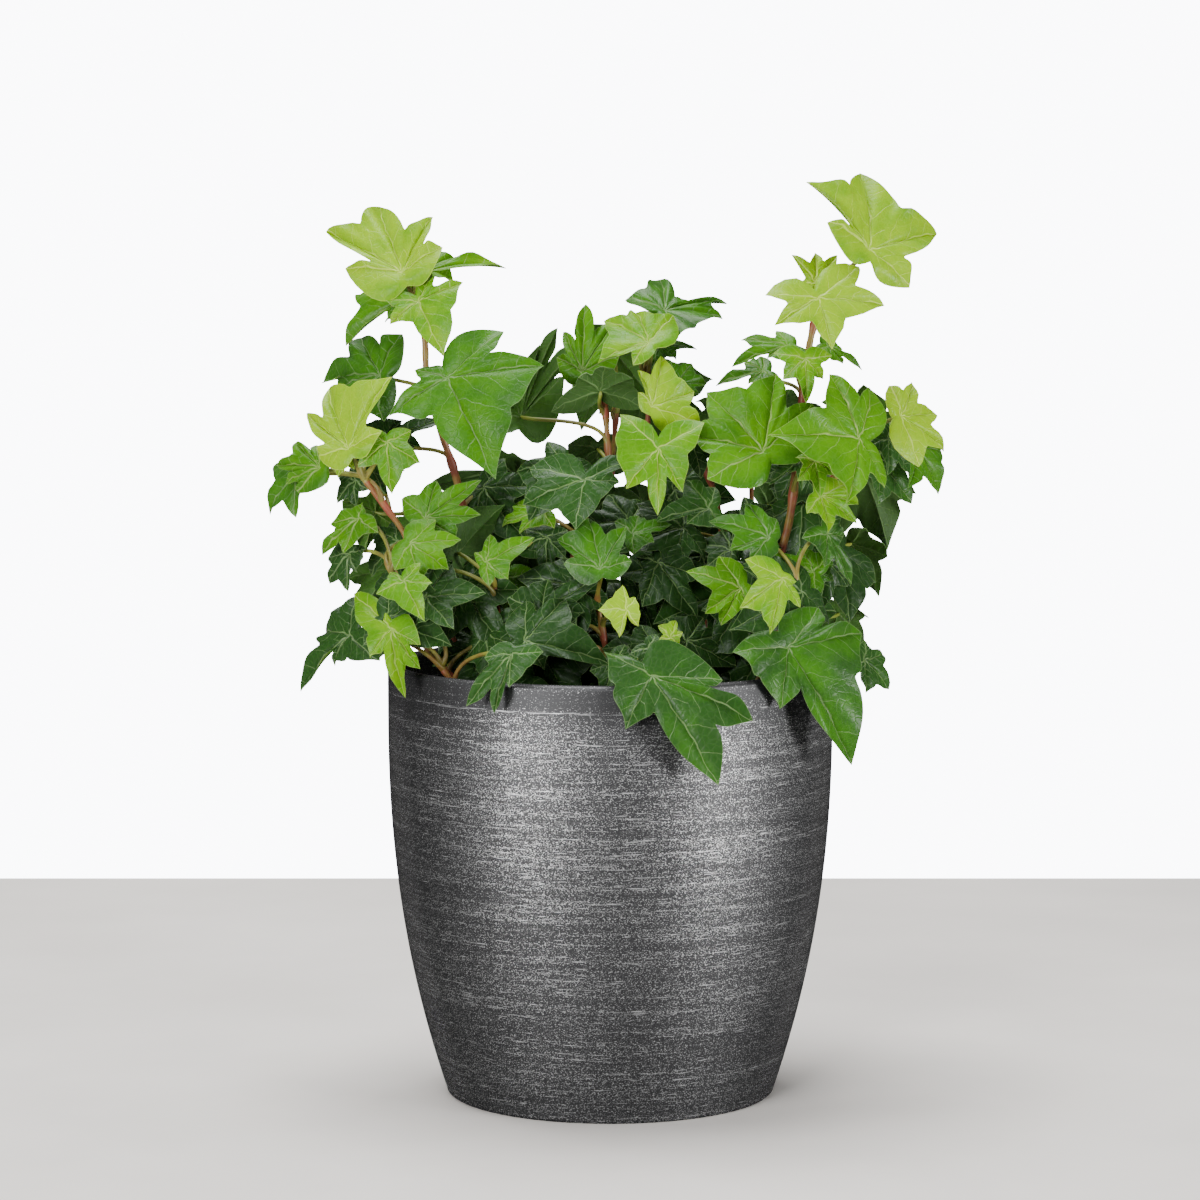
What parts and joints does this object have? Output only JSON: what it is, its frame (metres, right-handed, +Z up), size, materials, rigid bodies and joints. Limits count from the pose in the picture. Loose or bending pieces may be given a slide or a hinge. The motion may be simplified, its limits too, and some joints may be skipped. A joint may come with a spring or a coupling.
{
  "type": "potted ivy",
  "caption": "Leafy green ivy growing from a black nursery pot that stands in a tapered charcoal cover pot brushed with silver streaks.",
  "frame": {"origin": "on the pot's axis, at the flat underside that the pot stands on", "axes": "+Z up along the pot's axis; -Y towards the front of the plant, the side the picture shows; +X to the right seen from the front"},
  "size_m": [0.2165, 0.1596, 0.2916],
  "materials": {
    "charcoal_glaze": "satin charcoal with brushed silver streaks",
    "black_plastic": "satin",
    "potting_soil": "matte, crumbly",
    "ivy_leaf": "satin, waxy"
  },
  "bodies": {
    "root": {"planter": "charcoal_glaze", "nursery_pot": "black_plastic", "soil": "potting_soil", "ivy_stem_01": "ivy_leaf", "ivy_stem_02": "ivy_leaf", "ivy_stem_03": "ivy_leaf", "ivy_stem_04": "ivy_leaf", "ivy_stem_05": "ivy_leaf", "ivy_stem_06": "ivy_leaf", "ivy_stem_07": "ivy_leaf", "ivy_stem_08": "ivy_leaf", "ivy_stem_09": "ivy_leaf", "ivy_stem_10": "ivy_leaf", "ivy_stem_11": "ivy_leaf", "ivy_stem_12": "ivy_leaf", "ivy_stem_13": "ivy_leaf", "ivy_stem_14": "ivy_leaf", "ivy_stem_15": "ivy_leaf", "ivy_stem_16": "ivy_leaf", "ivy_stem_17": "ivy_leaf", "ivy_stem_18": "ivy_leaf"}
  },
  "joints": []
}
